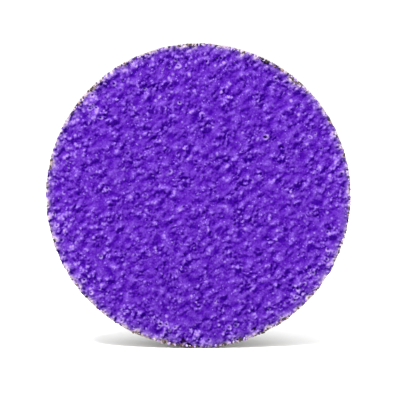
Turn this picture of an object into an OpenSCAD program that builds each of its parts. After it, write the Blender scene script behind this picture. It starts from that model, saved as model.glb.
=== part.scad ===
// Quick-change carving disc for an angle grinder: a two-ply cloth abrasive disc
// with a moulded screw button, on a rubber backing pad with an M14 spindle hub.
//
// Every module is drawn along its own axis: z = 0 is the hub's rear face, where the
// grinder's spindle enters, and z grows towards the abrasive face. stand_up() then
// turns the axis to -Y, so that the disc stands on its rim with its face forward.

/* [Abrasive disc] */
// Diameter of the abrasive disc
disc_d = 50.8; // [48:0.1:60]
// Thickness of the rear cloth ply
rear_cloth_t = 0.5; // [0.3:0.05:0.8]
// Thickness of the glue film between the two plies
film_t = 0.1; // [0.05:0.01:0.2]
// Thickness of the front cloth ply
front_cloth_t = 0.6; // [0.4:0.05:0.9]
// Thickness of the resin that anchors the grains
make_coat_t = 0.25; // [0.15:0.05:0.4]
// Thickness of the purple resin over and between the grains
size_coat_t = 0.95; // [0.8:0.05:1.2]

/* [Abrasive grains] */
// Number of grains, set out on a sunflower spiral
grain_count = 260; // [100:10:600]
// Width of the middle grain size
grain_w = 1; // [0.6:0.05:1.2]
// Height of the middle grain size above the make coat
grain_h = 0.55; // [0.4:0.05:0.6]

/* [Screw button] */
// Diameter of the button's flange
button_flange_d = 17.5; // [15:0.5:18]
// Thickness of the button's flange
button_flange_t = 1; // [0.8:0.1:1.1]
// Diameter over the crests of the button's coarse thread
button_thread_d = 9.4; // [8:0.1:10]
// Length of the button's threaded stub
button_stub_l = 5.6; // [4:0.1:6]
// Diameter of the moulding core up the stub
button_core_d = 4; // [2:0.5:5]
// Depth of the moulding core
button_core_l = 4.2; // [2:0.1:4.2]
// Thickness of the glue between the flange and the cloth
button_glue_t = 0.2; // [0.1:0.05:0.3]

/* [Backing pad] */
// Diameter of the rubber at the face that backs the disc
pad_face_d = 46; // [44:0.5:47]
// Diameter of the rubber at its rear edge
pad_rear_d = 40.4; // [40:0.1:42]
// Distance from the plate's rear face to the pad's front face
pad_t = 10.9; // [10.5:0.1:13]
// Diameter of the recess that takes the button's flange
face_recess_d = 19.5; // [19:0.1:21]
// Radius of the round edge of the pad's face
pad_edge_r = 0.9; // [0.4:0.1:1.5]

/* [Pad plate] */
// Diameter of the steel plate behind the rubber
plate_d = 38; // [36:0.5:39]
// Thickness of the steel plate
plate_t = 1.5; // [1:0.1:2]
// Diameter of the holes that key the rubber into the plate
key_hole_d = 4; // [3:0.1:4.5]

/* [Rivets] */
// Number of rivets between the hub and the plate
rivet_count = 4; // [3:1:6]
// Diameter of the circle that the rivets stand on
rivet_circle_d = 25.2; // [25:0.1:26]
// Diameter of a rivet's shank
rivet_shank_d = 2.5; // [2:0.1:3]
// Diameter of a rivet's rear, domed head
rivet_head_d = 4.4; // [4:0.1:4.6]
// Height of a rivet's rear, domed head
rivet_head_h = 1.2; // [0.8:0.1:1.6]
// Height of a rivet's front, clinched head
rivet_clinch_h = 0.8; // [0.5:0.1:1]

/* [Spindle hub] */
// Minor diameter of the M14 x 2 spindle thread, as tapped
spindle_thread_d = 12; // [11.8:0.05:12.2]
// Depth of the spindle thread
spindle_thread_l = 12; // [10:0.5:12]
// Diameter of the hub's barrel
barrel_d = 20; // [18.5:0.5:20]
// Distance across the two wrench flats
wrench_flats = 17; // [16:0.5:18]
// Length of the barrel behind the hub's flange
barrel_l = 10.5; // [9:0.5:14]
// Diameter of the hub's flange
hub_flange_d = 31; // [31:0.5:34]
// Thickness of the hub's flange
hub_flange_t = 2; // [1.5:0.1:3]
// Diameter of the boss that carries the socket
boss_d = 18; // [17:0.5:18]

/* [Thread socket] */
// Outer diameter of the socket pressed into the boss
socket_d = 14; // [12.5:0.5:15]
// Depth of the socket
socket_l = 7; // [6.4:0.1:7]
// Radial room between the button's thread and the socket
socket_room = 0.1; // [0.05:0.05:0.2]

/* [Hidden] */
$fn = 96;

// Overshoot of a cutting shape past the face that it cuts
cut = 1;
// Gap between the pad's face and the disc, which turn apart
seat_gap = 0.1;
// The golden angle, which spreads the grains evenly
golden_angle = 137.508;
// Nearest that a grain's centre comes to the rim
grain_margin = 0.9;

// Heights along the axis, from the hub's rear face
z_hub_flange = barrel_l;
z_plate = z_hub_flange + hub_flange_t;
z_rubber = z_plate + plate_t;
z_pad_face = z_plate + pad_t;
z_rear_cloth = z_pad_face + seat_gap;
z_film = z_rear_cloth + rear_cloth_t;
z_front_cloth = z_film + film_t;
z_make_coat = z_front_cloth + front_cloth_t;
z_size_coat = z_make_coat + make_coat_t;
z_button_glue = z_rear_cloth - button_glue_t;
z_button_flange = z_button_glue - button_flange_t;
z_boss_front = z_button_flange - seat_gap;
z_socket = z_boss_front - socket_l;

// Repeatable spread of a grain's size about the middle one, from 0 to 1
function spread(i, step) = (i * step) % 1;
function grain_radius(i) = grain_w * (0.42 + 0.16 * spread(i, 0.377));
function grain_height(i) = grain_h * (0.8 + 0.4 * spread(i, 0.613));
function grain_place(i) = (disc_d / 2 - grain_margin) * sqrt((i + 0.5) / grain_count);

// Turns the axis from +z to -Y, with the disc's face forward
module stand_up() {
    rotate([90, 0, 0]) children();
}

// Copies of a shape evenly round a circle, starting at an angle
module ring_of(count, circle_d, start = 0) {
    for (i = [0 : count - 1])
        rotate([0, 0, start + i * 360 / count])
            translate([circle_d / 2, 0, 0]) children();
}

// One full-size round layer of the disc
module layer(z, thickness) {
    translate([0, 0, z]) cylinder(d = disc_d, h = thickness);
}

// Every grain as a five-sided prism standing on the make coat
module grain_field() {
    for (i = [0 : grain_count - 1])
        rotate([0, 0, i * golden_angle])
            translate([grain_place(i), 0, z_size_coat])
                rotate([0, 0, i * 41]) cylinder(r = grain_radius(i), h = grain_height(i), $fn = 5);
}

// Purple resin that fills round the grains and covers them
module size_coat() {
    color("#6a32c2") stand_up() difference() {
        layer(z_size_coat, size_coat_t);
        grain_field();
    }
}

// Dark ceramic grains
module abrasive_grains() {
    color("#463c38") stand_up() grain_field();
}

// Amber resin that anchors the grains to the cloth
module make_coat() {
    color("#9a5f2c") stand_up() layer(z_make_coat, make_coat_t);
}

// Cream polyester cloth under the make coat
module front_cloth() {
    color("#e9dcc3") stand_up() layer(z_front_cloth, front_cloth_t);
}

// Glue film that joins the two plies
module laminating_film() {
    color("#c9a25a") stand_up() layer(z_film, film_t);
}

// Grey-olive cloth on the back of the disc
module rear_cloth() {
    color("#a9a48c") stand_up() layer(z_rear_cloth, rear_cloth_t);
}

// Glue disc that holds the button on the rear cloth
module button_glue() {
    color("#d8c690") stand_up()
        translate([0, 0, z_button_glue]) cylinder(d = button_flange_d - 1, h = button_glue_t);
}

// Nylon button: a thin flange and a short stub that screws into the socket
module screw_button() {
    color("#e4e1d6") stand_up() difference() {
        union() {
            translate([0, 0, z_button_flange]) cylinder(d = button_flange_d, h = button_flange_t);
            translate([0, 0, z_button_flange - button_stub_l])
                cylinder(d = button_thread_d, h = button_stub_l);
        }
        translate([0, 0, z_button_flange - button_stub_l - cut])
            cylinder(d = button_core_d, h = button_core_l + cut);
    }
}

// Plain outline of the rubber, from its rear edge to its face
module rubber_outline() {
    face_r = pad_face_d / 2;
    rear_r = pad_rear_d / 2;
    land_r = 0.6;
    edge_steps = 6;
    rounded_edge = [
        for (i = [0 : edge_steps])
            let (a = i * 90 / edge_steps)
                [face_r - pad_edge_r * (1 - cos(a)), z_pad_face - pad_edge_r * (1 - sin(a))]
    ];
    polygon(concat(
        [[boss_d / 2, z_plate], [rear_r - land_r, z_plate], [rear_r, z_plate + land_r]],
        rounded_edge,
        [[face_recess_d / 2, z_pad_face], [face_recess_d / 2, z_boss_front], [boss_d / 2, z_boss_front]]
    ));
}

// Rubber pad, moulded on to the plate and through its key holes
module rubber_pad() {
    color("#26262a") stand_up() difference() {
        rotate_extrude() rubber_outline();
        plate_body();
        clinched_heads();
    }
}

// Steel plate with its rivet holes still filled, as the rubber meets it
module plate_body() {
    translate([0, 0, z_plate]) difference() {
        cylinder(d = plate_d, h = plate_t);
        translate([0, 0, -cut]) cylinder(d = boss_d, h = plate_t + 2 * cut);
        translate([0, 0, -cut]) ring_of(rivet_count, rivet_circle_d, 180 / rivet_count)
            cylinder(d = key_hole_d, h = plate_t + 2 * cut);
    }
}

// Steel plate that spreads the load into the rubber
module pad_plate() {
    color("#b4b6b8") stand_up() difference() {
        plate_body();
        rivet_shanks();
    }
}

// The shanks of all rivets, through the hub's flange and the plate
module rivet_shanks() {
    translate([0, 0, z_hub_flange]) ring_of(rivet_count, rivet_circle_d)
        cylinder(d = rivet_shank_d, h = hub_flange_t + plate_t);
}

// The front heads of all rivets, clinched against the plate
module clinched_heads() {
    translate([0, 0, z_rubber]) ring_of(rivet_count, rivet_circle_d)
        cylinder(d = rivet_head_d - 0.4, h = rivet_clinch_h);
}

// The rear heads of all rivets: caps of a sphere on the hub's flange
module domed_heads() {
    cap_r = (pow(rivet_head_d / 2, 2) + pow(rivet_head_h, 2)) / (2 * rivet_head_h);
    translate([0, 0, z_hub_flange]) ring_of(rivet_count, rivet_circle_d) intersection() {
        translate([0, 0, cap_r - rivet_head_h]) sphere(r = cap_r);
        translate([0, 0, -rivet_head_h]) cylinder(d = rivet_head_d + cut, h = rivet_head_h);
    }
}

// Steel rivets, each one a separate solid
module rivets() {
    color("#c6c8cb") stand_up() union() {
        domed_heads();
        rivet_shanks();
        clinched_heads();
    }
}

// Brass socket whose coarse thread takes the button
module thread_socket() {
    color("#c9a24b") stand_up() translate([0, 0, z_socket]) difference() {
        cylinder(d = socket_d, h = socket_l);
        translate([0, 0, -cut]) cylinder(d = button_thread_d + 2 * socket_room, h = socket_l + 2 * cut);
    }
}

// Steel hub: a barrel with wrench flats, a flange, and a boss inside the rubber
module spindle_hub() {
    color("#c2c5c8") stand_up() difference() {
        union() {
            intersection() {
                cylinder(d = barrel_d, h = barrel_l);
                translate([0, 0, barrel_l / 2]) cube([wrench_flats, barrel_d + cut, barrel_l], center = true);
            }
            translate([0, 0, z_hub_flange]) cylinder(d = hub_flange_d, h = hub_flange_t);
            translate([0, 0, z_plate]) cylinder(d = boss_d, h = z_boss_front - z_plate);
        }
        translate([0, 0, -cut]) cylinder(d = spindle_thread_d, h = spindle_thread_l + cut);
        translate([0, 0, z_socket]) cylinder(d = socket_d, h = socket_l + cut);
        rivet_shanks();
    }
}

size_coat();
abrasive_grains();
make_coat();
front_cloth();
laminating_film();
rear_cloth();
button_glue();
screw_button();
rubber_pad();
pad_plate();
rivets();
thread_socket();
spindle_hub();
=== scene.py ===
"""Looks of the carving disc and its backing pad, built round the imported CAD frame.

Sizes in the geometry helpers are millimetres, and objects are made in metres. The disc's axis is Y:
the abrasive face looks along -Y and the grinder is on the +Y side.
"""
import math

import bmesh
import bpy
import numpy as np
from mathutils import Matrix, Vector


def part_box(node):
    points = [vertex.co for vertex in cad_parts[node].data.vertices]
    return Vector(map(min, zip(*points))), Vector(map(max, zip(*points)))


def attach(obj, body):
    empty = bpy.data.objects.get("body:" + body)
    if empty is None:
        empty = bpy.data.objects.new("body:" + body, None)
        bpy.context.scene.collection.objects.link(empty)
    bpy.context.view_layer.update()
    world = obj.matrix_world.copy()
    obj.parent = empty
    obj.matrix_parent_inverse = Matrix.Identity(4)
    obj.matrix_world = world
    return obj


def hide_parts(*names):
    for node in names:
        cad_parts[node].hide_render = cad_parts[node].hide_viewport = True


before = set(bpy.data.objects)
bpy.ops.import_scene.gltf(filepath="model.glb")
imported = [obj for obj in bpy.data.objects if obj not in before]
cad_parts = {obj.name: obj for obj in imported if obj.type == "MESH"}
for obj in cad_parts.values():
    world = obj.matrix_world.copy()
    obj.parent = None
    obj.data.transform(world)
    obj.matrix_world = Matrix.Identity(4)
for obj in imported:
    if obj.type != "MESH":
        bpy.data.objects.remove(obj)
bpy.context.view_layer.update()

MM = 0.001
TAU = 2 * math.pi
rng = np.random.default_rng(20)


def span_y(node):
    """The front (lowest) and rear (highest) Y of a CAD node, in millimetres."""
    low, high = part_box(node)
    return low.y / MM, high.y / MM


DISC_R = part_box("size_coat")[1].x / MM
COAT_FRONT, COAT_REAR = span_y("size_coat")
RESIN_FRONT = span_y("make_coat")[0]
CLOTH_FRONT = span_y("front_cloth")[0]
BACK_REAR = span_y("rear_cloth")[1]
FLOOR_Z = -DISC_R


# ---------------------------------------------------------------- meshes

def smooth_by_angle(mesh, degrees):
    """Smooth shading, with the edges sharper than the angle kept crisp."""
    limit = math.radians(degrees)
    bm = bmesh.new()
    bm.from_mesh(mesh)
    bmesh.ops.recalc_face_normals(bm, faces=bm.faces)
    for face in bm.faces:
        face.smooth = True
    for edge in bm.edges:
        edge.smooth = len(edge.link_faces) != 2 or edge.calc_face_angle(0) < limit
    bm.to_mesh(mesh)
    bm.free()


def add_object(name, points, faces, material, crease=35, attributes=None):
    """A mesh object from points in millimetres."""
    mesh = bpy.data.meshes.new(name)
    mesh.from_pydata((np.asarray(points, float) * MM).tolist(), [], faces)
    for key, values in (attributes or {}).items():
        layer = mesh.attributes.new(key, "FLOAT", "POINT")
        layer.data.foreach_set("value", np.asarray(values, np.float32))
    smooth_by_angle(mesh, crease)
    mesh.materials.append(material)
    obj = bpy.data.objects.new(name, mesh)
    bpy.context.scene.collection.objects.link(obj)
    return obj


def round_angles(count):
    """Even angles round a circle, the last one short of a full turn."""
    return np.arange(count) * TAU / count


def grid_faces(rows, columns, wrap_rows, start=0):
    """Quads of a grid that closes on itself across its columns, and across its rows if asked."""
    faces = []
    for i in range(rows if wrap_rows else rows - 1):
        a, b = start + i * columns, start + (i + 1) % rows * columns
        for j in range(columns):
            k = (j + 1) % columns
            faces.append((a + j, b + j, b + k, a + k))
    return faces


def turned(name, profile, material, angles=None, shape=None, wrap=True, crease=35, places=((0, 0),)):
    """A turned piece. profile is [(radius, y)], closed on itself if wrap, otherwise closed by a fan
    at each end. shape(radius, y, angle), if given, returns the radius there. places are the (x, z)
    of the axis of each copy."""
    angles = round_angles(192) if angles is None else angles
    profile = np.asarray(profile, float)
    radius, y = (np.repeat(profile[:, i:i + 1], len(angles), 1) for i in (0, 1))
    angle = np.repeat(angles[None, :], len(profile), 0)
    if shape:
        radius = shape(radius, y, angle)
    points = np.stack([radius * np.cos(angle), y, radius * np.sin(angle)], -1).reshape(-1, 3)
    faces = grid_faces(len(profile), len(angles), wrap)
    if not wrap:
        n = len(angles)
        for row in (0, len(profile) - 1):
            hub = len(points)
            points = np.vstack([points, [[0, profile[row, 1], 0]]])
            faces += [(hub, row * n + j, row * n + (j + 1) % n) for j in range(n)]
    copies = np.vstack([points + (x, 0, z) for x, z in places])
    faces = [tuple(k * len(points) + i for i in face) for k in range(len(places)) for face in faces]
    return add_object(name, copies, faces, material, crease)


def combine(piece, operation, radius, places, front, rear, crease):
    """Cuts round holes along Y out of a piece (DIFFERENCE), or adds round plugs to it (UNION)."""
    tool = turned("tool", [(radius, front), (radius, rear)], piece.data.materials[0],
                  round_angles(48), wrap=False, places=places)
    change = piece.modifiers.new("round", "BOOLEAN")
    change.operation = operation
    change.solver = "EXACT"
    change.object = tool
    depsgraph = bpy.context.evaluated_depsgraph_get()
    mesh = bpy.data.meshes.new_from_object(piece.evaluated_get(depsgraph))
    piece.modifiers.clear()
    piece.data = mesh
    bpy.data.objects.remove(tool)
    smooth_by_angle(mesh, crease)


def ring_disc(rings):
    """Radius (0 to 1), angle and triangles of a disc of near-equal triangles: ring k has 6k points."""
    radius, angle = [np.zeros(1)], [np.zeros(1)]
    faces = [(0, 1 + j, 1 + (j + 1) % 6) for j in range(6)]
    for k in range(1, rings + 1):
        radius.append(np.full(6 * k, k / rings))
        angle.append(round_angles(6 * k))
        if k == 1:
            continue
        outer, inner = 1 + 3 * k * (k - 1), 1 + 3 * (k - 1) * (k - 2)
        n_outer, n_inner = 6 * k, 6 * (k - 1)
        for s in range(6):
            for j in range(k):
                o0 = outer + s * k + j
                o1 = outer + (s * k + j + 1) % n_outer
                i0 = inner + (s * (k - 1) + j) % n_inner
                faces.append((i0, o0, o1))
                if j < k - 1:
                    faces.append((i0, o1, inner + (s * (k - 1) + j + 1) % n_inner))
    return np.concatenate(radius), np.concatenate(angle), faces


def ring_noise(angle, waves):
    """Repeatable noise round a circle: waves is [(cycles, amount)], each spread over nearby cycles."""
    total = np.zeros_like(angle)
    parts = 9
    for cycles, amount in waves:
        for n in np.linspace(0.5 * cycles, 1.5 * cycles, parts).round():
            total += amount / math.sqrt(parts / 2) * np.sin(n * angle + rng.uniform(0, TAU))
    return total


# ---------------------------------------------------------------- the abrasive relief, as a raster

# CELL is the raster's step, and HALF its half width, a little past the rim. The lumps run along
# STREAK_ANGLE, and the painted light comes from LIGHT_ANGLE; both turn from +X towards +Z.
CELL = 0.05
HALF = 26.5
SIDE = int(2 * HALF / CELL) + 1
AXIS = np.linspace(-HALF, HALF, SIDE)
GX, GZ = np.meshgrid(AXIS, AXIS, indexing="ij")
FREQ = np.fft.fftfreq(SIDE, CELL)
FX, FZ = np.meshgrid(FREQ, FREQ, indexing="ij")
STREAK_ANGLE = math.radians(34)
LIGHT_ANGLE = math.radians(115)


def blur(values, sigma):
    """Gaussian blur, with sigma in millimetres."""
    return np.fft.ifft2(np.fft.fft2(values) * np.exp(-2 * (math.pi * sigma) ** 2 * (FX**2 + FZ**2))).real


def streaky_noise(length, stretch, angle=STREAK_ANGLE):
    """Noise of unit spread whose lumps are about length across and stretch times as long."""
    along = FX * math.cos(angle) + FZ * math.sin(angle)
    across = -FX * math.sin(angle) + FZ * math.cos(angle)
    f = np.hypot(along * stretch, across) * length
    band = f**2 * np.exp(-1.2 * f**2)
    made = np.fft.ifft2(np.fft.fft2(rng.standard_normal((SIDE, SIDE))) * band).real
    return made / made.std()


def window(x, z, reach):
    """The raster's slices round a point, with the local offsets there."""
    i0, i1 = np.searchsorted(AXIS, (x - reach, x + reach))
    j0, j1 = np.searchsorted(AXIS, (z - reach, z + reach))
    at = (slice(i0, i1), slice(j0, j1))
    return at, GX[at] - x, GZ[at] - z


def scatter(spacing, radius):
    """Jittered points on a disc, about spacing apart."""
    row = spacing * math.sqrt(0.75)
    a, b = np.meshgrid(np.arange(int(2 * radius / spacing) + 2), np.arange(int(2 * radius / row) + 2))
    x = (a + 0.5 * (b % 2)) * spacing - radius
    z = b * row - radius
    points = np.stack([x.ravel(), z.ravel()], 1) + rng.normal(0, spacing * 0.27, (a.size, 2))
    return points[np.hypot(points[:, 0], points[:, 1]) < radius]


def grain_lumps():
    """Height of the grains: a tilted, rounded lump for each, the highest one winning."""
    lumps = np.zeros((SIDE, SIDE))
    for x, z in scatter(0.76, HALF - 1):
        a = rng.uniform(0.28, 0.66)
        b = a * rng.uniform(0.5, 0.9)
        peak = rng.uniform(0.1, 0.5)
        turn = rng.normal(STREAK_ANGLE, 0.8)
        tilt = rng.normal(0, 0.16, 2)
        at, dx, dz = window(x, z, a * 1.3)
        u = (dx * math.cos(turn) + dz * math.sin(turn)) / a
        v = (-dx * math.sin(turn) + dz * math.cos(turn)) / b
        fall = np.clip(1 - (np.abs(u) ** 2.4 + np.abs(v) ** 2.4), 0, 1)
        dome = fall**0.7 * (peak + tilt[0] * dx + tilt[1] * dz)
        lumps[at] = np.maximum(lumps[at], dome)
    return lumps


def burst_bubbles(placed, count_rim):
    """Burst bubbles in the coat: (crater depth, pale lip, dark hole), those listed and others
    near the rim. Each lip is a broken ring, thickest on one side, round a dot or a slit."""
    depth, lip, hole = (np.zeros((SIDE, SIDE)) for _ in range(3))
    places = list(placed)
    for _ in range(count_rim):
        r, a = rng.uniform(DISC_R - 3.6, DISC_R - 0.5), rng.uniform(0, TAU)
        opening = rng.uniform(0.3, 0.55) * (rng.random() < 0.75)
        places.append((r * math.cos(a), r * math.sin(a), rng.uniform(0.14, 0.36), opening))
    for x, z, size, opening in places:
        squash = rng.uniform(0.55, 1)
        turn = rng.uniform(0, TAU)
        # The lip is thickest and palest on one side, mostly the lower right where the pit's wall faces the
        # light: partly a real thicker lip, partly a painted highlight.
        thick_and_lit_side = rng.normal(-0.9, 0.8)
        one_sided = rng.uniform(0.5, 1.0)
        at, dx, dz = window(x, z, size * 2.6)
        u = dx * math.cos(turn) + dz * math.sin(turn)
        v = (-dx * math.sin(turn) + dz * math.cos(turn)) / squash
        d = np.hypot(u, v) / size
        side = 1 - one_sided * (0.5 - 0.5 * np.cos(np.arctan2(dz, dx) - thick_and_lit_side))
        ring = np.exp(-((d - 1) / 0.45) ** 2) * side
        depth[at] += 0.08 * ring - 0.16 * np.exp(-((d / 0.8) ** 4))
        lip[at] = np.maximum(lip[at], ring * rng.uniform(0.35, 1))
        # The hole in the middle is marked to be painted near black, as painted shade inside it.
        if opening:
            slit = np.hypot(u, v / rng.uniform(0.5, 1)) / (size * opening)
            depth[at] -= 0.22 * np.exp(-(slit**4))
            hole[at] = np.maximum(hole[at], np.exp(-(slit**4)) * rng.uniform(0.5, 1))
    return depth, lip, hole


def lost_grains(pits):
    """Ragged pits left by lost grains, which the hole mark paints dark as painted shade: pits is
    [(angle in degrees, distance from rim, radius)].
    """
    pit = np.zeros((SIDE, SIDE))
    for degrees, inward, size in pits:
        a = math.radians(degrees)
        at, dx, dz = window((DISC_R - inward) * math.cos(a), (DISC_R - inward) * math.sin(a), size * 2.5)
        turn = np.arctan2(dz, dx)
        ragged = 1 + 0.3 * np.sin(3 * turn + rng.uniform(0, TAU))
        ragged += 0.15 * np.sin(7 * turn + rng.uniform(0, TAU))
        pit[at] = np.maximum(pit[at], np.exp(-((np.hypot(dx, dz) / (size * ragged)) ** 4)))
    return pit


def crowd_round(angles, middle, amount):
    """Evenly spread angles moved round the circle so that they crowd about middle."""
    turn = np.linspace(0, TAU, 721)
    return np.interp(angles, turn + amount * (np.sin(turn - middle) + math.sin(middle)), turn)


def bright_specks(count_face, count_rim):
    """Small bright points on the coat, 0 to 1: worn spots and painted highlights, in clusters towards
    the rim, most on its left.
    """
    specks = np.zeros((SIDE, SIDE))
    radii = np.concatenate([np.sqrt(rng.random(count_face)) * (DISC_R - 1),
                            DISC_R - 0.25 - 3.8 * rng.random(count_rim) ** 1.5])
    angles = rng.uniform(0, TAU, len(radii))
    clustered = rng.choice(rng.uniform(0, TAU, 32), count_rim) + rng.normal(0, 0.035, count_rim)
    at_rim = np.where(rng.random(count_rim) < 0.65, clustered, angles[count_face:])
    angles[count_face:] = crowd_round(at_rim % TAU, math.radians(195), 0.6)
    for r, a in zip(radii, angles):
        size = rng.uniform(0.09, 0.19)
        at, dx, dz = window(r * math.cos(a), r * math.sin(a), size * 3)
        spot = np.exp(-(dx**2 + dz**2) / (2 * size**2)) * rng.uniform(0.45, 1)
        specks[at] = np.maximum(specks[at], spot)
    return specks


def cast_shade(height, slope):
    """How far each point lies below the light that just clears the higher ground near it."""
    shade = np.zeros_like(height)
    for reach in (0.25, 0.35, 0.45, 0.55, 0.65, 0.75):
        cells = [-round(reach * part / CELL) for part in (math.cos(LIGHT_ANGLE), math.sin(LIGHT_ANGLE))]
        shade = np.maximum(shade, np.roll(height, cells, (0, 1)) - height - slope * reach)
    return shade


def sample(raster, x, z):
    """The raster's value at points, in between its cells."""
    i, j = (x + HALF) / CELL, (z + HALF) / CELL
    i0 = np.clip(i.astype(int), 0, SIDE - 2)
    j0 = np.clip(j.astype(int), 0, SIDE - 2)
    s, t = i - i0, j - j0
    return ((1 - s) * (1 - t) * raster[i0, j0] + s * (1 - t) * raster[i0 + 1, j0]
            + (1 - s) * t * raster[i0, j0 + 1] + s * t * raster[i0 + 1, j0 + 1])


# The burst bubbles that show most: (x, z, radius of the lip, opening as a share of it).
BUBBLES = [
    (11.1, 9.9, 0.46, 0.62), (17.6, -14.6, 0.36, 0.4), (21.4, -10.4, 0.28, 0.4), (22.6, -9.2, 0.26, 0.3),
    (16.1, -17.3, 0.26, 0.5), (-16.2, 13.1, 0.34, 0.45), (-8.9, 17.9, 0.3, 0.3), (-4.7, 4.2, 0.36, 0.4),
    (-3.1, 15.6, 0.28, 0.5), (2.8, -17.5, 0.28, 0.4), (-15.1, 1.4, 0.26, 0.5), (-22.3, 0.7, 0.28, 0.3),
    (16.2, 15.0, 0.26, 0.4), (-16.2, -10.0, 0.28, 0), (18.5, 9.9, 0.32, 0),
]
# Grains lost from the rim: (angle in degrees, distance from the rim, radius).
PITS = [
    (264.1, 1.1, 0.46), (266.2, 0.4, 0.46), (262, 0.3, 0.34), (59.5, 0.3, 0.3), (63.5, 0.42, 0.38),
    (64.8, 0.6, 0.22), (91.5, 0.12, 0.26), (321, 0.3, 0.32), (293, 1.35, 0.24), (197, 0.35, 0.18),
    (343, 0.2, 0.2), (286, 0.2, 0.24), (136, 0.2, 0.2), (247, 0.2, 0.22), (10, 0.35, 0.2),
    (83, 0.2, 0.22), (101, 0.2, 0.22), (28, 0.2, 0.16), (201, 0.3, 0.2), (238, 0.2, 0.26),
    (351, 0.2, 0.2), (115, 0.35, 0.16), (172, 0.3, 0.16), (222, 0.3, 0.18), (307, 0.25, 0.2),
]
RIM_BUBBLES = 80
FACE_SPECKS = 560
RIM_SPECKS = 660
RESIN_LEVEL = 0.15


def coat_height():
    """The coat's height with what shows on it: (height, broad swell, pale lips, dark holes)."""
    swell = 0.75 * streaky_noise(1.8, 1.8) + 0.66 * streaky_noise(1.3, 1.6)
    rough_here = np.clip(0.86 - 0.15 * swell + 0.36 * streaky_noise(3.5, 1.3), 0.35, 1.7)
    lumps = blur(grain_lumps(), 0.05)
    lumps = 0.5 * (lumps + RESIN_LEVEL + np.sqrt((lumps - RESIN_LEVEL) ** 2 + 0.06**2))
    crust = 0.06 * streaky_noise(0.7, 1.2) + 0.04 * streaky_noise(0.42, 1.1)
    height = 0.065 * swell + rough_here * (lumps - blur(lumps, 1.0) + crust)
    crater, lips, holes = burst_bubbles(BUBBLES, RIM_BUBBLES)
    lost = lost_grains(PITS)
    height += crater - 0.4 * lost
    return height, swell, lips, np.maximum(holes, 0.95 * lost)


def coat_tone(height, swell):
    """Painted light and shade on the coat: painted shade in the hollows and in cast shadow, painted
    highlights on the peaks and at glints, and paler towards the rim. Its spread is about 1."""
    cluster = np.clip(1 + 0.6 * streaky_noise(2.2, 1.5), 0.2, 2.2)
    glint = cluster * np.clip(streaky_noise(0.38, 1.1) - 1.3, 0, None)
    slope_x, slope_z = np.gradient(blur(height, 0.08), CELL)
    lit = -slope_x * math.cos(LIGHT_ANGLE) - slope_z * math.sin(LIGHT_ANGLE)
    peak = height - blur(height, 1.1)
    peak = peak / peak.std()
    shade = cast_shade(blur(height, 0.06), 0.22)
    tone = 0.46 * peak + 0.5 * np.clip(peak - 0.6, 0, None) + 0.28 * lit / lit.std() + 0.36 * swell
    tone -= 0.38 * shade / shade.std()
    tone = (tone - tone.mean()) / tone.std() + 2.2 * glint - 0.26
    return tone + 0.2 * np.clip((np.hypot(GX, GZ) - 19.5) / 5.5, 0, 1) ** 2


# ---------------------------------------------------------------- materials

def feed(socket, value):
    """Gives a node's input a number, a colour (r, g, b) or another node's output."""
    if isinstance(value, bpy.types.NodeSocket):
        socket.id_data.links.new(value, socket)
    else:
        socket.default_value = (*value, 1) if isinstance(value, tuple) else value


def feed_all(node, inputs):
    """Feeds several of a node's inputs, {name or number: value}."""
    for key, value in inputs.items():
        feed(node.inputs[key], value)


def add_node(tree, kind, inputs=None, **settings):
    """A new shader node with its settings and inputs."""
    node = tree.nodes.new("ShaderNode" + kind)
    for key, value in settings.items():
        setattr(node, key, value)
    feed_all(node, inputs or {})
    return node


def new_material(name):
    """An empty node material: (material, its tree, its principled shader)."""
    material = bpy.data.materials.new(name)
    material.use_nodes = True
    tree = material.node_tree
    return material, tree, tree.nodes["Principled BSDF"]


def object_place(tree):
    """The place in the object, in metres."""
    return add_node(tree, "TexCoord").outputs["Object"]


def calculate(tree, operation, *values):
    """The result of a math operation on values."""
    return add_node(tree, "Math", dict(enumerate(values)), operation=operation).outputs[0]


def noise(tree, scale, detail=4.0, rough=0.55, stretch=None):
    """A noise texture on object coordinates, in features per metre."""
    where = object_place(tree)
    if stretch:
        mapping = add_node(tree, "Mapping", {"Vector": where})
        mapping.inputs["Scale"].default_value = stretch
        where = mapping.outputs["Vector"]
    inputs = {"Vector": where, "Scale": scale, "Detail": detail, "Roughness": rough}
    return add_node(tree, "TexNoise", inputs).outputs["Fac"]


def ramp(tree, value, stops):
    """A colour ramp over a value: stops is [(position, (r, g, b))]."""
    node = add_node(tree, "ValToRGB", {"Fac": value})
    elements = node.color_ramp.elements
    while len(elements) > 1:
        elements.remove(elements[-1])
    elements[0].position = stops[0][0]
    elements[0].color = (*stops[0][1], 1)
    for position, colour in stops[1:]:
        elements.new(position).color = (*colour, 1)
    return node.outputs["Color"]


def attribute(tree, name):
    """A mesh attribute's value."""
    return add_node(tree, "Attribute", attribute_name=name).outputs["Fac"]


def spread(tree, value, low, high, to_low=0.0, to_high=1.0):
    """Maps a value's range on to another one, clamped."""
    inputs = {"Value": value, "From Min": low, "From Max": high, "To Min": to_low, "To Max": to_high}
    return add_node(tree, "MapRange", inputs).outputs["Result"]


def mix(tree, factor, a, b):
    """Mixes two colours."""
    return add_node(tree, "Mix", {"Factor": factor, "A": a, "B": b}, data_type="RGBA").outputs["Result"]


def darker(colour, share):
    """A colour (r, g, b) at a share of its brightness."""
    return tuple(share * c for c in colour)


def bump(tree, shader, height, distance_mm, strength, under=None):
    """Bump of a height on a shader, over another bump if there is one."""
    node = add_node(tree, "Bump", {"Strength": strength, "Distance": distance_mm * MM, "Height": height})
    if under:
        feed(node.inputs["Normal"], under)
    feed(shader.inputs["Normal"], node.outputs["Normal"])
    return node.outputs["Normal"]


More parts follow.
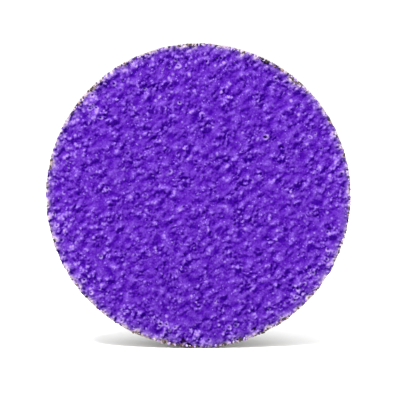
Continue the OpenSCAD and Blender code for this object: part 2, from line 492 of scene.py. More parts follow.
def coat_material():
    """Purple resin, coloured through the tone mark's painted light and shade: deeper and bluer in the
    painted shade of the hollows, lilac in the painted highlights on the peaks, and lilac round burst
    bubbles.
    """
    material, tree, shader = new_material("purple_coat")
    fleck = spread(tree, noise(tree, 3200, 3, 0.7), 0.2, 0.8, -1.5, 1.5)
    tone = calculate(tree, "ADD", attribute(tree, "tone"), fleck)
    # The ramp turns the tone mark's painted light and shade into colour: deep blue-violet in the painted
    # shade, lilac in the painted highlights.
    colour = ramp(tree, spread(tree, tone, -2.75, 2.75), [
        (0.0, (0.02, 0.0, 0.192)),
        (0.18, (0.03, 0.0, 0.225)),
        (0.34, (0.049, 0.003, 0.253)),
        (0.5, (0.08, 0.0165, 0.305)),
        (0.66, (0.113, 0.035, 0.358)),
        (0.82, (0.158, 0.065, 0.43)),
        (1.0, (0.27, 0.15, 0.6)),
    ])
    drift = spread(tree, noise(tree, 260, 3), 0.35, 0.65, 0.0, 0.16)
    colour = mix(tree, drift, colour, (0.1, 0.01, 0.4))
    # The pale mark: lilac on the bubbles' lips and the bright specks, partly their own paler coat and partly
    # painted highlights.
    pale = spread(tree, attribute(tree, "pale"), 0.1, 1.0, 0.0, 0.85)
    colour = mix(tree, pale, colour, (0.45, 0.29, 0.71))
    grit = spread(tree, noise(tree, 2600, 4, 0.7), 0.42, 0.58, 0.35, 1.0)
    bare = mix(tree, grit, (0.2, 0.115, 0.11), (0.7, 0.61, 0.64))
    colour = mix(tree, attribute(tree, "bare"), colour, bare)
    # The hole mark paints the coat near black: painted shade in the bubbles' holes and the lost grains'
    # pits, painted shade and dark grit along the rim's edge, and darkening near the rim.
    feed_all(shader, {
        "Base Color": mix(tree, attribute(tree, "hole"), colour, (0.012, 0.002, 0.03)),
        "Roughness": spread(tree, noise(tree, 900, 4), 0.3, 0.7, 0.28, 0.46),
        "Specular IOR Level": 0.06,
        "Specular Tint": (0.6, 0.2, 1.0),
    })
    fine = bump(tree, shader, noise(tree, 4200, 5, 0.6), 0.05, 0.6)
    bump(tree, shader, noise(tree, 1500, 3), 0.22, 0.8, under=fine)
    return material


def grain_material():
    """Crushed ceramic grain: each shard has its own tone, from near black to tan and pale coat."""
    material, tree, shader = new_material("ceramic_grain")
    tone = ramp(tree, attribute(tree, "tone"), [
        (0.0, (0.008, 0.006, 0.006)),
        (0.34, (0.03, 0.018, 0.014)),
        (0.5, (0.13, 0.05, 0.03)),
        (0.62, (0.32, 0.18, 0.14)),
        (0.74, (0.56, 0.43, 0.39)),
        (0.82, (0.46, 0.3, 0.72)),
        (1.0, (0.62, 0.52, 0.8)),
    ])
    speckle = spread(tree, noise(tree, 2600, 5, 0.7), 0.35, 0.7, 0.0, 0.45)
    feed_all(shader, {
        "Base Color": mix(tree, speckle, tone, (0.03, 0.02, 0.02)),
        "Roughness": 0.42,
        "Specular IOR Level": 0.5,
    })
    bump(tree, shader, noise(tree, 4200, 6, 0.7), 0.05, 0.6)
    return material


def resin_material(name, light, dark, rough):
    """Cured resin or glue: a clear amber film with thick and thin places."""
    material, tree, shader = new_material(name)
    feed_all(shader, {
        "Base Color": ramp(tree, noise(tree, 1900, 5, 0.6), [(0.38, dark), (0.62, light)]),
        "Roughness": rough,
        "Coat Weight": 0.25,
        "Coat Roughness": 0.2,
    })
    bump(tree, shader, noise(tree, 1600, 4), 0.06, 0.5)
    return material


def weave_material(name, light, dark, pitch_mm, twill):
    """Woven cloth on the disc's faces: crossing yarns on X and Z, filled with resin."""
    material, tree, shader = new_material(name)
    split = add_node(tree, "SeparateXYZ", {"Vector": object_place(tree)})
    x, z = split.outputs["X"], split.outputs["Z"]
    turns = TAU / (pitch_mm * MM)

    def wave(along, rate):
        return calculate(tree, "SINE", calculate(tree, "MULTIPLY", along, rate))

    over = wave(calculate(tree, "ADD", x, calculate(tree, "MULTIPLY", z, twill)), turns / 2)
    yarns = []
    for across, edge in ((x, 0.4), (z, -0.4)):
        ridge = calculate(tree, "ABSOLUTE", wave(across, turns))
        yarns.append(calculate(tree, "MULTIPLY", ridge, spread(tree, over, -edge, edge)))
    fibre = calculate(tree, "MULTIPLY", noise(tree, 6000, 3, 0.6), 0.35)
    height = calculate(tree, "ADD", calculate(tree, "MAXIMUM", *yarns), fibre)
    colour = ramp(tree, height, [(0.15, dark), (0.85, light)])
    stain = spread(tree, noise(tree, 330, 5, 0.62), 0.42, 0.68, 0.0, 0.55)
    feed_all(shader, {
        "Base Color": mix(tree, stain, colour, darker(dark, 0.62)),
        "Roughness": 0.78,
        "Sheen Weight": 0.25,
        "Sheen Roughness": 0.5,
    })
    bump(tree, shader, height, 0.14, 0.8)
    return material


def rubber_material():
    """Moulded black rubber: fine pebble and patches of dust."""
    material, tree, shader = new_material("black_rubber")
    dust = spread(tree, noise(tree, 900, 7, 0.7), 0.45, 0.75, 0.0, 0.4)
    colour = mix(tree, dust, (0.009, 0.009, 0.01), (0.03, 0.029, 0.028))
    scuff = spread(tree, noise(tree, 420, 6, 0.75, (1, 6, 1)), 0.6, 0.74, 0.0, 0.4)
    feed_all(shader, {
        "Base Color": mix(tree, scuff, colour, (0.06, 0.056, 0.052)),
        "Roughness": spread(tree, noise(tree, 800, 4), 0.3, 0.7, 0.5, 0.64),
        "Specular IOR Level": 0.26,
    })
    fine = bump(tree, shader, noise(tree, 3600, 3, 0.5), 0.035, 0.7)
    bump(tree, shader, noise(tree, 520, 4), 0.08, 0.1, under=fine)
    return material


def steel_material(name, colour, rough, feed_mm, mark_mm, tarnish):
    """Turned or pressed metal: tool marks round the Y axis, uneven polish and a little tarnish."""
    material, tree, shader = new_material(name)
    wave = {"Vector": object_place(tree), "Scale": 1 / (feed_mm * MM) / 20, "Distortion": 0.8,
            "Detail": 3.0, "Detail Scale": 2.5}
    waves = [add_node(tree, "TexWave", wave, wave_type=kind, rings_direction="Y", bands_direction="Y")
             for kind in ("RINGS", "BANDS")]
    marks = calculate(tree, "ADD", *(node.outputs["Fac"] for node in waves))
    patch = spread(tree, noise(tree, 120, 7, 0.7), 0.42, 0.78, 0.0, 0.6)
    tint = mix(tree, patch, colour, tarnish)
    groove = spread(tree, marks, 0.2, 1.6, 0.18, 0.0)
    tint = mix(tree, groove, tint, darker(tarnish, 0.3))
    pits = spread(tree, noise(tree, 1700, 6, 0.75), 0.62, 0.72, 0.0, 0.7)
    feed_all(shader, {
        "Base Color": mix(tree, pits, tint, darker(tarnish, 0.35)),
        "Metallic": 1.0,
        "Roughness": spread(tree, noise(tree, 320, 7, 0.72), 0.3, 0.75, rough - 0.05, rough + 0.14),
    })
    fine = bump(tree, shader, marks, mark_mm, 0.6)
    bump(tree, shader, noise(tree, 2400, 5, 0.6), 0.012, 0.5, under=fine)
    return material


def nylon_material():
    """Natural moulded nylon: slightly cloudy, with light passing a little way in."""
    material, tree, shader = new_material("nylon")
    feed_all(shader, {
        "Base Color": ramp(tree, noise(tree, 240, 4), [(0.3, (0.62, 0.59, 0.5)), (0.7, (0.78, 0.76, 0.68))]),
        "Roughness": 0.45,
        "Subsurface Weight": 0.15,
        "Subsurface Scale": 0.0008,
    })
    bump(tree, shader, noise(tree, 3000, 3), 0.02, 0.4)
    return material


COAT = coat_material()
GRAIN = grain_material()
RESIN = resin_material("amber_resin", (0.5, 0.39, 0.38), (0.15, 0.09, 0.09), 0.35)
FILM = resin_material("film_glue", (0.3, 0.17, 0.06), (0.14, 0.07, 0.025), 0.4)
GLUE = resin_material("button_glue", (0.72, 0.6, 0.36), (0.5, 0.38, 0.2), 0.45)
CREAM = weave_material("cream_cloth", (0.69, 0.6, 0.55), (0.34, 0.27, 0.24), 0.42, 1.0)
OLIVE = weave_material("olive_cloth", (0.3, 0.275, 0.19), (0.085, 0.075, 0.045), 0.62, -1.0)
RUBBER = rubber_material()
HUB_STEEL = steel_material("hub_steel", (0.3, 0.3, 0.305), 0.26, 0.45, 0.02, (0.13, 0.12, 0.11))
ZINC = steel_material("zinc_plate", (0.24, 0.25, 0.265), 0.34, 0.9, 0.01, (0.12, 0.12, 0.13))
RIVET = steel_material("rivet_steel", (0.42, 0.41, 0.4), 0.24, 0.5, 0.006, (0.24, 0.22, 0.2))
BRASS = steel_material("socket_brass", (0.62, 0.42, 0.16), 0.28, 0.25, 0.01, (0.36, 0.22, 0.09))
NYLON = nylon_material()


# ---------------------------------------------------------------- the disc's layers

RINGS = 175
SHARDS = 620
FIBRES = 420
# Stretches of the rim: (middle in degrees, half width, amount).
CHIP_ARCS = [
    (50, 3.2, 0.5), (57, 1.6, 0.3), (74, 1.5, 0.55), (68, 1.1, 0.35), (92, 2.2, 0.3), (133, 2.6, 0.5),
    (141, 1.4, 0.3), (197, 1.3, 0.3), (216, 2.4, 0.4), (246, 1.4, 0.35), (257, 2.2, 0.5), (318, 1.3, 0.4),
    (305, 1.6, 0.2), (335, 1.5, 0.3), (20, 1.2, 0.3), (167, 1.4, 0.25), (286, 1.3, 0.25),
]
# The rim's dark stretches, in the same columns: painted shade and dark grit on the coat's edge, and where
# the dark shards crowd.
DARK_ARCS = [
    (61, 5, 1), (91, 3, 0.8), (133, 4, 0.5), (196, 2, 0.6), (214, 2, 0.5), (266, 3, 1.3), (285, 6, 0.7),
    (321, 2, 0.9), (343, 3, 0.6), (48, 2, 0.5), (5, 4, 0.4),
]
CREAM_ARCS = [(246, 12, 0.2), (297, 14, 0.24), (228, 4, 0.12)]
# The shards' tones on the grain's colour ramp, and the share of shards that has each.
GRAIN_TONES = [0.05, 0.2, 0.4, 0.52, 0.64, 0.76, 0.86, 0.97]
GRAIN_SHARES = [0.15, 0.15, 0.13, 0.07, 0.05, 0.09, 0.18, 0.18]


def place(piece, body, node=None):
    """Attaches a piece to the body it rides on and hides the CAD node that it stands for."""
    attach(piece, body)
    if node:
        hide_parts(node)


def arc_bumps(angle, arcs):
    """Sum of soft bumps round the circle: arcs is [(middle in degrees, half width, amount)]."""
    total = np.zeros_like(angle)
    for middle, half_width, amount in arcs:
        away = np.abs((np.degrees(angle) - middle + 180) % 360 - 180) / half_width
        total += amount * np.exp(-away**4)
    return total


def make_coat():
    """The purple coat: a relief of grain lumps with a die-cut, chipped edge."""
    relief, swell, lips, holes = coat_height()
    tone = coat_tone(relief, swell)
    # The specks are made brighter where the painted light is brighter.
    specks = bright_specks(FACE_SPECKS, RIM_SPECKS) * np.clip(0.7 + 0.45 * tone, 0.15, 1)

    share, angle, faces = ring_disc(RINGS)
    count = 6 * RINGS
    edge_angle = round_angles(count)
    nibble = 0.09 + ring_noise(edge_angle, [(25, 0.06), (60, 0.06), (170, 0.04), (330, 0.015)])
    bite = np.clip(nibble, 0, None) + arc_bumps(edge_angle, CHIP_ARCS) + arc_bumps(edge_angle, CREAM_ARCS)
    rim_r = DISC_R - 0.03 - bite

    def inwards(rim_values):
        """Values round the rim, carried in to every point of the face."""
        return np.interp(angle, edge_angle, rim_values, period=TAU)

    rim_here = inwards(rim_r)
    pull = np.clip((share * DISC_R - (DISC_R - 1.6)) / 1.6, 0, 1) ** 2
    radius = share * DISC_R - (DISC_R - rim_here) * pull
    x, z = radius * np.cos(angle), radius * np.sin(angle)
    height = sample(relief, x, z)
    rim_drop = 0.16 * np.clip((radius - (rim_here - 0.45)) / 0.45, 0, 1) ** 2
    y = COAT_FRONT + 0.5 - (height - np.median(height)) * 0.88 + rim_drop
    y = np.clip(y, COAT_FRONT + 0.002, COAT_REAR - 0.05)

    depth = rim_here - radius
    # The coat's painted light and shade at each point.
    painted = sample(tone, x, z)
    worn = inwards(0.25 + ring_noise(edge_angle, [(50, 0.35), (160, 0.35)]))
    dark = 0.75 * arc_bumps(edge_angle, DARK_ARCS) - 0.15 + ring_noise(edge_angle, [(60, 0.2), (200, 0.3)])
    # Painted shade along the rim's outermost 0.35 mm where the coat rounds off, with dark grit, strongest on
    # the dark arcs.
    edge_shade_and_grit = np.clip(1 - depth / 0.35, 0, 1) * np.clip(inwards(dark), 0, 0.9)
    # More of the bare colour towards the rim, most where the painted light is brightest.
    wash = 0.12 * np.clip(1 - depth / 1.5, 0, 1) * np.clip(1 + 0.6 * painted, 0, 3)
    # Darker within 1.9 mm of the rim, most where the painted shade is deepest.
    rim_darkening = np.clip(1 - depth / 1.9, 0, 1) * np.clip(0.14 - 0.1 * painted, 0, 0.6)
    marks = {
        "tone": [painted],
        "pale": [np.clip(sample(lips, x, z) + sample(specks, x, z), 0, 1)],
        "bare": [np.clip(1 - depth / 0.65, 0, 1) * np.clip(worn + 0.25 * painted, 0, 0.85) + wash],
        "hole": [np.clip(sample(holes, x, z) + edge_shade_and_grit + rim_darkening, 0, 1)],
    }

    points = np.stack([x, y, z], 1)
    first = len(points) - count
    rim_front = y[first:]
    walls = 6
    for k in range(1, walls + 1):
        t = k / walls
        rough = ring_noise(edge_angle, [(140, 0.035), (300, 0.03)])
        r = rim_r - 0.03 * math.sin(t * math.pi) - np.abs(rough) * (1 if k < walls else 0.3)
        y = rim_front + (COAT_REAR - rim_front) * t
        points = np.vstack([points, np.stack([r * np.cos(edge_angle), y, r * np.sin(edge_angle)], 1)])
        marks["tone"].append(rough / 0.05)
        marks["pale"].append(np.zeros(count))
        marks["bare"].append(np.clip(0.4 + rough / 0.06, 0, 1))
        marks["hole"].append(np.zeros(count))
    faces += grid_faces(walls + 1, count, False, first)
    last, centre = len(points) - count, len(points)
    faces += [(centre, last + (j + 1) % count, last + j) for j in range(count)]
    points = np.vstack([points, [[0, COAT_REAR, 0]]])
    marks = {key: np.concatenate(values + [np.zeros(1)]) for key, values in marks.items()}
    return add_object("coat_relief", points, faces, COAT, 60, marks)


def broken(ball):
    """A ball of unit radius cut down by flat breaks."""
    shard = ball.copy()
    for _ in range(9):
        normal = rng.normal(0, 1, 3)
        normal /= np.linalg.norm(normal)
        over = np.clip(shard @ normal - rng.uniform(0.45, 0.8), 0, None)
        shard -= over[:, None] * normal
    return shard


def make_shards():
    """Crushed grains bared at the die-cut edge, crowded where the rim is dark or chipped."""
    sphere = bmesh.new()
    bmesh.ops.create_icosphere(sphere, subdivisions=2, radius=1.0)
    ball = np.array([v.co for v in sphere.verts])
    triangles = [tuple(v.index for v in f.verts) for f in sphere.faces]
    sphere.free()
    turn = np.linspace(0, TAU, 1441)
    crowded = [(middle, 1.6 * half_width + 1, 1.3) for middle, half_width, _ in DARK_ARCS + CHIP_ARCS[::2]]
    crowding = np.cumsum(0.35 + arc_bumps(turn, crowded))
    points, faces, tones = [], [], []
    for k in range(SHARDS):
        a = np.interp(rng.uniform(0, crowding[-1]), crowding, turn)
        size = rng.uniform(0.14, 0.3)
        shard = broken(ball) * (size * rng.uniform(0.75, 1.2, 3))
        r = DISC_R - 0.02 - size * rng.uniform(0.75, 1.5)
        y = rng.uniform(COAT_FRONT + 0.28 + size, COAT_REAR + 0.05 - size * 0.6)
        shard += np.array([r * math.cos(a), y, r * math.sin(a)])
        reach = np.hypot(shard[:, 0], shard[:, 2])
        trim = np.minimum(1, (DISC_R - 0.015) / reach)
        shard[:, 0] *= trim
        shard[:, 2] *= trim
        shard[:, 1] = np.clip(shard[:, 1], COAT_FRONT + 0.05, RESIN_FRONT + 0.12)
        points.append(shard)
        faces += [tuple(k * len(ball) + i for i in triangle) for triangle in triangles]
        tones.append(np.full(len(ball), rng.choice(GRAIN_TONES, p=GRAIN_SHARES)))
    marks = {"tone": np.concatenate(tones)}
    return add_object("rim_grains", np.concatenate(points), faces, GRAIN, 18, marks)


def edge_layer(name, front, rear, radius, material, ripple, yarns=0):
    """A round layer of the laminate whose cut edge is uneven, with the ends of its yarns showing."""
    angles = round_angles(1080)
    steps = 7
    uneven = ring_noise(angles, [(40, ripple), (150, ripple)])

    def shape(r, y, angle):
        wave = uneven
        if yarns:
            through = (y - front) / (rear - front)
            wave = wave + 0.028 * np.sin(yarns * angle + 3 * np.sin(TAU * through))
        return np.where(r > radius - 0.6, np.minimum(r + wave, DISC_R - 0.004), r)

    edge = [(radius - 0.05 * (2 * t / steps - 1) ** 2, front + (rear - front) * t / steps)
            for t in range(steps + 1)]
    profile = [(radius - 3, front), (radius - 1, front)] + edge + [(radius - 1, rear), (radius - 3, rear)]
    return turned(name, profile, material, angles, shape, wrap=False, crease=50)


def make_fibres():
    """Frayed cream yarn ends round the cloth's cut edge, most of them low on the rim."""
    points, faces = [], []
    sides, steps = 4, 5
    root_r = DISC_R - 0.2
    for fibre in range(FIBRES):
        degrees = rng.uniform(0, 360) if rng.random() < 0.35 else rng.uniform(205, 340)
        root_y = rng.uniform(CLOTH_FRONT + 0.02, BACK_REAR - 0.05)
        lean = rng.normal(0, 0.5)
        length = rng.uniform(0.12, 0.38)
        droop = rng.normal(0, 0.25)
        width = rng.uniform(0.012, 0.024)
        for s in range(steps):
            t = s / (steps - 1)
            r = min(root_r + length * t * math.cos(lean), DISC_R + 0.06)
            a = math.radians(degrees) + length * t * math.sin(lean) / root_r
            y = root_y + length * droop * t * t
            w = width * (1 - 0.6 * t)
            for k in range(sides):
                across, up = w * math.cos(k * TAU / sides), w * math.sin(k * TAU / sides)
                points.append((r * math.cos(a) - across * math.sin(a), y + up,
                               r * math.sin(a) + across * math.cos(a)))
        start = fibre * sides * steps
        faces += grid_faces(steps, sides, False, start)
        faces.append(tuple(start + k for k in reversed(range(sides))))
        faces.append(tuple(start + (steps - 1) * sides + k for k in range(sides)))
    return add_object("frayed_fibres", points, faces, CREAM, 80)


place(make_coat(), "disc", "size_coat")
place(make_shards(), "disc", "abrasive_grains")
for name, node, inset, material, ripple, yarns, slot in (
    ("resin_layer", "make_coat", 0.15, RESIN, 0.03, 0, "amber_resin"),
    ("cream_ply", "front_cloth", 0.035, CREAM, 0.012, 380, "cream_cloth"),
    ("film_layer", "laminating_film", 0.09, FILM, 0.02, 0, "film_glue"),
    ("olive_ply", "rear_cloth", 0.035, OLIVE, 0.012, 320, "olive_cloth"),
):
    layer = edge_layer(name, *span_y(node), DISC_R - inset, material, ripple, yarns)
    place(layer, "disc", node)
place(make_fibres(), "disc")


# ---------------------------------------------------------------- the backing pad and the button

PAD_FRONT = span_y("rubber_pad")[0]
PLATE_FRONT, PLATE_REAR = span_y("pad_plate")
HUB_FRONT, HUB_REAR = span_y("spindle_hub")
SOCKET_FRONT, SOCKET_REAR = span_y("thread_socket")
BUTTON_FRONT, BUTTON_REAR = span_y("screw_button")
GLUE_FRONT, GLUE_REAR = span_y("button_glue")
FLANGE_REAR = PLATE_REAR + 2
BUTTON_FLANGE_REAR = BUTTON_FRONT + 1
SPINDLE_PITCH = 2.0
THREAD_PITCH = 2.5
RIVET_CIRCLE_R = 12.6
SHANK_R = 1.25
CLINCH_R = 2
CLINCH_H = 0.8
KEY_R = 2


def four_round(first):
    """Four places on the rivets' circle, the first one a share of the way to the next."""
    turns = [(k + first) * TAU / 4 for k in range(4)]
    return [(RIVET_CIRCLE_R * math.cos(turn), RIVET_CIRCLE_R * math.sin(turn)) for turn in turns]


RIVET_PLACES = four_round(0)
KEY_PLACES = four_round(0.5)


def helix(y, angle, pitch):
    """A thread's profile, from 0 to 1, with flat tops, flat roots and sloping sides."""
    turn = (y / pitch + angle / TAU) % 1
    return np.clip((0.8 - np.abs(2 * turn - 1)) / 0.6, 0, 1)


def make_hub():
    """Turned hub: tapped bore, barrel with two milled flats, flange, and boss with the socket's seat."""
    bore_r, bore_end, mouth_r, flat_x, barrel_r = 6.0, HUB_REAR - 12, 7.35, 8.5, 10.0
    flange_r, boss_r, seat_r = 15.5, 9, 7
    angles = round_angles(192)
    edge = math.acos(flat_x / barrel_r)
    for exact in (edge, TAU / 2 - edge, TAU / 2 + edge, TAU - edge):
        angles[np.abs(angles - exact).argmin()] = exact

    def shape(r, y, angle):
        depth = np.clip((y - bore_end) / 1.5, 0, 1)
        bore = np.maximum(bore_r + helix(y, angle, SPINDLE_PITCH) * depth, mouth_r + y - HUB_REAR)
        r = np.where(np.abs(r - bore_r) < 0.01, bore, r)
        flat = flat_x / np.maximum(np.abs(np.cos(angle)), 1e-6)
        return np.where((r > 9) & (r < barrel_r + 0.1) & (y > PLATE_REAR + 1), np.minimum(r, flat), r)

    profile = [(2, bore_end - 0.5), (5.5, bore_end - 0.1)]
    profile += [(bore_r, y) for y in np.arange(bore_end + 0.1, HUB_REAR - 0.05, 0.125)]
    profile += [(mouth_r + 0.05, HUB_REAR), (9.45, HUB_REAR), (9.8, HUB_REAR - 0.15),
                (barrel_r, HUB_REAR - 0.55)]
    profile += [(barrel_r, y) for y in np.linspace(HUB_REAR - 2, FLANGE_REAR, 6)]
    profile += [(10.7, FLANGE_REAR), (13, FLANGE_REAR), (flange_r - 0.4, FLANGE_REAR),
                (flange_r - 0.1, FLANGE_REAR - 0.12), (flange_r, FLANGE_REAR - 0.4),
                (flange_r, PLATE_REAR + 0.3), (flange_r - 0.2, PLATE_REAR + 0.02), (boss_r, PLATE_REAR),
                (boss_r, HUB_FRONT + 0.3), (boss_r - 0.3, HUB_FRONT), (seat_r + 0.25, HUB_FRONT),
                (seat_r, HUB_FRONT + 0.25), (seat_r, SOCKET_REAR), (3, SOCKET_REAR)]
    hub = turned("turned_hub", profile, HUB_STEEL, angles, shape, wrap=False, crease=20)
    combine(hub, "DIFFERENCE", SHANK_R, RIVET_PLACES, PLATE_REAR - 0.5, FLANGE_REAR + 0.5, 20)
    return hub


def make_plate():
    """Pressed plate: rounded outer edge, a shallow groove pressed round it, rivet holes and key holes."""
    profile = [(9, PLATE_REAR), (16.2, PLATE_REAR), (16.5, PLATE_REAR - 0.05), (16.8, PLATE_REAR - 0.25),
               (17.4, PLATE_REAR - 0.25), (17.7, PLATE_REAR - 0.05), (18, PLATE_REAR), (18.6, PLATE_REAR),
               (18.88, PLATE_REAR - 0.12), (19, PLATE_REAR - 0.4), (19, PLATE_FRONT), (9, PLATE_FRONT)]
    plate = turned("pressed_plate", profile, ZINC, crease=30)
    for radius, places in ((SHANK_R, RIVET_PLACES), (KEY_R, KEY_PLACES)):
        combine(plate, "DIFFERENCE", radius, places, PLATE_FRONT - 0.5, PLATE_REAR + 0.5, 30)
    return plate


def make_rivets():
    """Rivets with a domed rear head, a shank and a flatter clinched head in the rubber."""
    head_r, head_h = 2.2, 1.2
    ball_r = (head_r**2 + head_h**2) / (2 * head_h)
    profile = [(ball_r * math.sin(t), FLANGE_REAR + head_h - ball_r * (1 - math.cos(t)))
               for t in np.linspace(0.1, math.asin(head_r / ball_r), 10)]
    profile += [(head_r - 0.03, FLANGE_REAR), (SHANK_R, FLANGE_REAR), (SHANK_R, PLATE_FRONT),
                (CLINCH_R, PLATE_FRONT), (CLINCH_R, PLATE_FRONT - 0.45),
                (CLINCH_R - 0.15, PLATE_FRONT - 0.7), (CLINCH_R - 0.5, PLATE_FRONT - CLINCH_H)]

    def shape(r, y, angle):
        return r * (1 - 0.012 * (1 + np.sin(5 * angle + 3 * y)) * (y > FLANGE_REAR + 0.05))

    return turned("domed_rivets", profile, RIVET, round_angles(48), shape, False, 40, RIVET_PLACES)


def make_pad():
    """Moulded rubber: rounded face edge with a flash line behind it, tapered side with small nicks and
    two moulded grooves, plugs through the plate's key holes and pockets for the rivets' front heads."""
    face_r, rear_r, edge_r, bore_r, recess_r = 23.0, 20.2, 0.9, 9.0, 9.75
    profile = [(bore_r, PLATE_FRONT), (bore_r, HUB_FRONT), (recess_r, HUB_FRONT),
               (recess_r, PAD_FRONT + 0.15), (recess_r + 0.15, PAD_FRONT), (16, PAD_FRONT)]
    profile += [(face_r - edge_r * (1 - math.sin(t)), PAD_FRONT + edge_r * (1 - math.cos(t)))
                for t in np.linspace(0, TAU / 4, 8)]
    side_front, side_rear = PAD_FRONT + edge_r, PLATE_REAR - 0.7
    profile += [(face_r + (rear_r - face_r) * t, side_front + (side_rear - side_front) * t)
                for t in np.linspace(0.03, 1, 64)]
    profile += [(20.1, PLATE_REAR - 0.3), (19.85, PLATE_REAR - 0.08), (19.55, PLATE_REAR), (19, PLATE_REAR),
                (19, PLATE_FRONT)]
    angles = round_angles(288)
    waves = ring_noise(angles, [(5, 0.03), (23, 0.015), (80, 0.012)])
    nicks = np.zeros_like(angles)
    for _ in range(9):
        away = (angles - rng.uniform(0, TAU) + TAU / 2) % TAU - TAU / 2
        nicks += rng.uniform(0.08, 0.24) * np.exp(-((away * face_r / rng.uniform(0.2, 0.6)) ** 2))

    def shape(r, y, angle):
        outer = r > face_r - edge_r + 0.05
        wavy = np.abs(waves) * (y > side_front)
        nicked = nicks * np.exp(-((y - side_front) / 0.7) ** 2)
        flash = 0.1 * np.exp(-((y - side_front - 0.45) / 0.13) ** 2)
        grooves = sum(0.24 * np.exp(-((y - side_rear + back) / 0.24) ** 2) for back in (1.5, 2.5))
        taper = r - 0.09 - wavy - nicked + flash - grooves
        slanted = (y > PAD_FRONT + 0.1) & (y < PLATE_REAR - 0.6) & (r > rear_r - 0.01)
        return np.where(slanted, np.minimum(taper, r), np.where(outer, r - 0.02, r))

    pad = turned("moulded_pad", profile, RUBBER, angles, shape, crease=30)
    combine(pad, "UNION", KEY_R, KEY_PLACES, PLATE_FRONT - 0.4, PLATE_REAR, 30)
    combine(pad, "DIFFERENCE", CLINCH_R, RIVET_PLACES, PLATE_FRONT - CLINCH_H, PLATE_FRONT + 0.3, 30)
    return pad


def make_socket():
    """Brass socket: a plain outside, a coarse thread inside and a countersunk mouth."""
    bore_r, outer_r = 4.8, 7.0

    def shape(r, y, angle):
        bore = np.maximum(bore_r + 0.7 * helix(y, angle, THREAD_PITCH), 5.9 - (y - SOCKET_FRONT))
        return np.where(np.abs(r - bore_r) < 0.01, bore, r)

    profile = [(outer_r - 0.25, SOCKET_REAR), (outer_r, SOCKET_REAR - 0.25), (outer_r, SOCKET_FRONT + 0.2),
               (outer_r - 0.2, SOCKET_FRONT), (5.95, SOCKET_FRONT)]
    profile += [(bore_r, y) for y in np.arange(SOCKET_FRONT + 0.08, SOCKET_REAR - 0.05, 0.16)]
    profile += [(5.6, SOCKET_REAR)]
    return turned("threaded_socket", profile, BRASS, round_angles(120), shape, crease=25)


def make_button():
    """Moulded button: a thin flange and a stub with a coarse thread and a core hole up its middle."""
    core_r, crest_r, flange_r = 2.0, 4.7, 8.75

    def shape(r, y, angle):
        run_out = np.clip((BUTTON_REAR - y) / 0.8, 0, 1) * np.clip((y - BUTTON_FLANGE_REAR) / 0.5, 0, 1)
        chamfer = 0.35 * np.clip(1 - (BUTTON_REAR - y) / 0.5, 0, 1)
        root = 0.75 * (1 - helix(y, angle, THREAD_PITCH)) * run_out + chamfer
        return np.where(np.abs(r - crest_r) < 0.01, crest_r - root, r)

    profile = [(0.8, BUTTON_REAR - 4.2), (1.7, BUTTON_REAR - 4.1), (core_r, BUTTON_REAR - 3.8),
               (core_r, BUTTON_REAR - 0.2), (core_r + 0.15, BUTTON_REAR), (4.2, BUTTON_REAR)]
    profile += [(crest_r, y) for y in np.arange(BUTTON_REAR - 0.05, BUTTON_FLANGE_REAR, -0.14)]
    profile += [(4.75, BUTTON_FLANGE_REAR), (flange_r - 0.3, BUTTON_FLANGE_REAR - 0.03),
                (flange_r, BUTTON_FLANGE_REAR - 0.3), (flange_r, BUTTON_FRONT + 0.25),
                (flange_r - 0.2, BUTTON_FRONT), (3, BUTTON_FRONT)]
    return turned("moulded_button", profile, NYLON, round_angles(120), shape, wrap=False, crease=30)


def make_glue():
    """Glue squeezed out unevenly between the button's flange and the cloth."""
    edge_r, most_r = 8, 8.24
    angles = round_angles(240)
    uneven = ring_noise(angles, [(6, 0.09), (17, 0.05)])

    def shape(r, y, angle):
        return np.where(r > edge_r - 1, np.minimum(r + uneven, most_r), r)

    middle = (GLUE_FRONT + GLUE_REAR) / 2
    profile = [(3, GLUE_REAR), (6.5, GLUE_REAR), (edge_r, GLUE_REAR), (edge_r + 0.1, middle),
               (edge_r, GLUE_FRONT), (6.5, GLUE_FRONT), (3, GLUE_FRONT)]
    return turned("glue_bead", profile, GLUE, angles, shape, wrap=False, crease=50)


for make, node, body, slot in (
    (make_hub, "spindle_hub", "pad", "hub_steel"),
    (make_plate, "pad_plate", "pad", "zinc_plate"),
    (make_rivets, "rivets", "pad", "rivet_steel"),
    (make_pad, "rubber_pad", "pad", "black_rubber"),
    (make_socket, "thread_socket", "pad", "socket_brass"),
    (make_button, "screw_button", "disc", "nylon"),
    (make_glue, "button_glue", "disc", "button_glue"),
):
    place(make(), body, node)


# ---------------------------------------------------------------- stage, light and camera

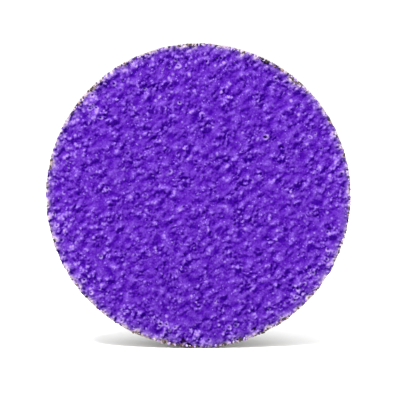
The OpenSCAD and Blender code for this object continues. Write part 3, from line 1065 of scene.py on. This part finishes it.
def make_floor():
    """A plain white floor, not part of the object."""
    material, _, shader = new_material("floor")
    feed_all(shader, {"Base Color": (0.93, 0.93, 0.93), "Roughness": 0.9, "Specular IOR Level": 0.1})
    half, z = 3.0, FLOOR_Z * MM
    corners = [(-half, -half, z), (half, -half, z), (half, half, z), (-half, half, z)]
    mesh = bpy.data.meshes.new("floor")
    mesh.from_pydata(corners, [], [(0, 1, 2, 3)])
    mesh.materials.append(material)
    floor = bpy.data.objects.new("floor", mesh)
    bpy.context.scene.collection.objects.link(floor)


def make_light():
    """A small square light, high in front and a little to the left, that looks at the disc's middle."""
    light = bpy.data.lights.new("key", "AREA")
    light.size = 0.1
    light.energy = 5.2
    stand = Vector((-0.2, -0.34, 0.64))
    key = bpy.data.objects.new("key", light)
    key.location = stand
    key.rotation_euler = (Vector((0, COAT_FRONT * MM, 0)) - stand).to_track_quat("-Z", "Y").to_euler()
    bpy.context.scene.collection.objects.link(key)


def make_world():
    """White surroundings: brightest overhead, white along the horizon and softer high in front."""
    world = bpy.data.worlds.new("studio")
    world.use_nodes = True
    tree = world.node_tree
    split = add_node(tree, "SeparateXYZ", {"Vector": add_node(tree, "TexCoord").outputs["Generated"]})
    in_front = spread(tree, split.outputs["Z"], 0.13, 0.26, 1.12, 0.52)
    around = spread(tree, split.outputs["Y"], -0.3, 0.5, in_front, 1.12)
    above = spread(tree, split.outputs["Z"], 0.3, 0.9, 0.0, 1.3)
    strength = calculate(tree, "ADD", around, above)
    feed_all(tree.nodes["Background"], {"Color": (1, 1, 1), "Strength": strength})
    bpy.context.scene.world = world


def make_camera():
    """A long lens in front of the disc, a little above it. The disc's radius, and how far the aim lies
    right of and below its middle, are shares of the frame's half width."""
    disc_share, aim_right, aim_down = 0.765, 0.00825, 0.016
    elevation = math.radians(4)
    camera = bpy.data.cameras.new("camera")
    camera.lens = 120
    camera.sensor_width = 36
    camera.clip_start = 0.01
    camera.clip_end = 20
    half_width = DISC_R / disc_share
    distance = half_width / (camera.sensor_width / 2 / camera.lens)
    aim = Vector((aim_right * half_width, COAT_FRONT + 0.5, -aim_down * half_width)) * MM
    back = Vector((0, -math.cos(elevation), math.sin(elevation)))
    obj = bpy.data.objects.new("camera", camera)
    obj.location = aim + back * distance * MM
    obj.rotation_euler = (-back).to_track_quat("-Z", "Y").to_euler()
    bpy.context.scene.collection.objects.link(obj)
    bpy.context.scene.camera = obj


make_floor()
make_world()
make_light()
make_camera()
bpy.context.scene.view_settings.view_transform = "Standard"
